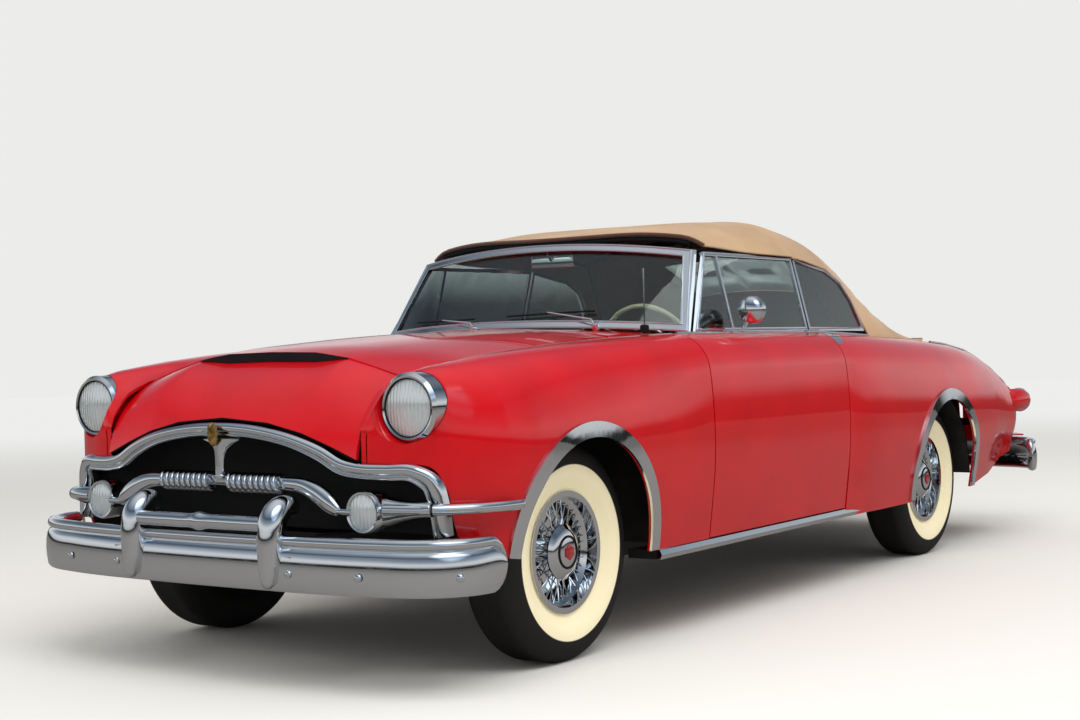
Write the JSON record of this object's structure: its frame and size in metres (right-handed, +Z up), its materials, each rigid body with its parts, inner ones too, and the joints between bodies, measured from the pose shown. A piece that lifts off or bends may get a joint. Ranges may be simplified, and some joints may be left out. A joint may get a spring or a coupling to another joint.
{
  "type": "convertible car",
  "caption": "Two-door 1950s convertible with raised fabric top, toothed grille arch, wire wheels, opening doors, hood and trunk, and steered front wheels.",
  "frame": {"origin": "on the ground, midway along the length and width of the car", "axes": "+Z up; the front of the car faces -Y; the left side of the car, which carries the driver, is towards +X"},
  "size_m": [1.9696, 5.45, 1.5897],
  "materials": {
    "body_paint": "gloss",
    "bright_trim": "polished",
    "top_fabric": "woven",
    "window_glass": "clear",
    "lamp_glass": "ribbed",
    "red_lens": "gloss",
    "tyre_rubber": "matte",
    "wire_wheel": "polished",
    "frame_steel": "satin black",
    "bare_steel": "plain",
    "engine_iron": "painted",
    "seat_leather": "smooth",
    "wheel_plastic": "gloss",
    "dark_screen": "matte black"
  },
  "bodies": {
    "car_body": {"antenna": "bright_trim", "arch_trims": "bright_trim", "body_tub": "body_paint", "bumper_guards": "bright_trim", "chassis": "frame_steel", "cowl": "body_paint", "dashboard": "body_paint", "engine": "engine_iron", "exhaust": "bare_steel", "fender_front_left": "body_paint", "fender_front_right": "body_paint", "fixed_glass": "window_glass", "front_bumper": "bright_trim", "front_lenses": "lamp_glass", "front_suspension": "frame_steel", "fuel_tank": "frame_steel", "grille_back": "dark_screen", "grille_bar": "bright_trim", "grille_surround": "bright_trim", "headlamps": "bright_trim", "inner_panels": "frame_steel", "parking_lamps": "bright_trim", "quarter_left": "body_paint", "quarter_right": "body_paint", "radiator": "frame_steel", "rear_axle": "frame_steel", "rear_bumper": "bright_trim", "seats": "seat_leather", "soft_top": "top_fabric", "splash_pan": "body_paint", "steering_column": "frame_steel", "tail_lenses": "red_lens", "tail_panel": "body_paint", "tail_pods": "body_paint", "top_bows": "frame_steel", "window_frames": "bright_trim", "wing_bars": "bright_trim"},
    "hood_lid": {"hood": "body_paint"},
    "trunk": {"trunk_lid": "body_paint"},
    "left_door": {"door_left": "body_paint", "door_left_trim": "bright_trim", "door_left_glass": "window_glass"},
    "right_door": {"door_right": "body_paint", "door_right_trim": "bright_trim", "door_right_glass": "window_glass"},
    "left_knuckle": {"knuckle_left": "bare_steel"},
    "right_knuckle": {"knuckle_right": "bare_steel"},
    "hand_wheel": {"steering_wheel": "wheel_plastic"},
    "front_left_wheel": {"tyre_front_left": "tyre_rubber", "wheel_front_left": "wire_wheel"},
    "front_right_wheel": {"tyre_front_right": "tyre_rubber", "wheel_front_right": "wire_wheel"},
    "rear_left_wheel": {"tyre_rear_left": "tyre_rubber", "wheel_rear_left": "wire_wheel"},
    "rear_right_wheel": {"tyre_rear_right": "tyre_rubber", "wheel_rear_right": "wire_wheel"}
  },
  "joints": [
    {"name": "left_steer", "type": "hinge", "parent": "car_body", "child": "left_knuckle", "pos_m": [0.69, -1.845, 0.364], "axis": [0, 0, 1], "range_deg": [-30, 30]},
    {"name": "right_steer", "type": "hinge", "parent": "car_body", "child": "right_knuckle", "pos_m": [-0.69, -1.845, 0.364], "axis": [0, 0, 1], "range_deg": [-30, 30]},
    {"name": "steering_wheel_turn", "type": "hinge", "parent": "car_body", "child": "hand_wheel", "pos_m": [0.372, -0.515, 1], "axis": [0, 0.9318, 0.363], "range_deg": [-480, 480]},
    {"name": "front_left_roll", "type": "hinge", "parent": "left_knuckle", "child": "front_left_wheel", "pos_m": [0.752, -1.845, 0.364], "axis": [1, 0, 0], "continuous": true},
    {"name": "front_right_roll", "type": "hinge", "parent": "right_knuckle", "child": "front_right_wheel", "pos_m": [-0.752, -1.845, 0.364], "axis": [1, 0, 0], "continuous": true},
    {"name": "rear_left_roll", "type": "hinge", "parent": "car_body", "child": "rear_left_wheel", "pos_m": [0.752, 1.254, 0.364], "axis": [1, 0, 0], "continuous": true},
    {"name": "rear_right_roll", "type": "hinge", "parent": "car_body", "child": "rear_right_wheel", "pos_m": [-0.752, 1.254, 0.364], "axis": [1, 0, 0], "continuous": true},
    {"name": "left_door_swing", "type": "hinge", "parent": "car_body", "child": "left_door", "pos_m": [0.93, -1.091, 0.7], "axis": [0, 0, 1], "range_deg": [-65, 0]},
    {"name": "right_door_swing", "type": "hinge", "parent": "car_body", "child": "right_door", "pos_m": [-0.93, -1.091, 0.7], "axis": [0, 0, 1], "range_deg": [0, 65]},
    {"name": "hood_lift", "type": "hinge", "parent": "car_body", "child": "hood_lid", "pos_m": [0, -1.142, 1.125], "axis": [1, 0, 0], "range_deg": [-50, 0]},
    {"name": "trunk_lift", "type": "hinge", "parent": "car_body", "child": "trunk", "pos_m": [0, 1.421, 1.053], "axis": [1, 0, 0], "range_deg": [0, 55]}
  ],
  "couplings": [
    {"joint": "right_steer", "follows": "left_steer", "ratio": 1},
    {"joint": "steering_wheel_turn", "follows": "left_steer", "ratio": 16}
  ]
}
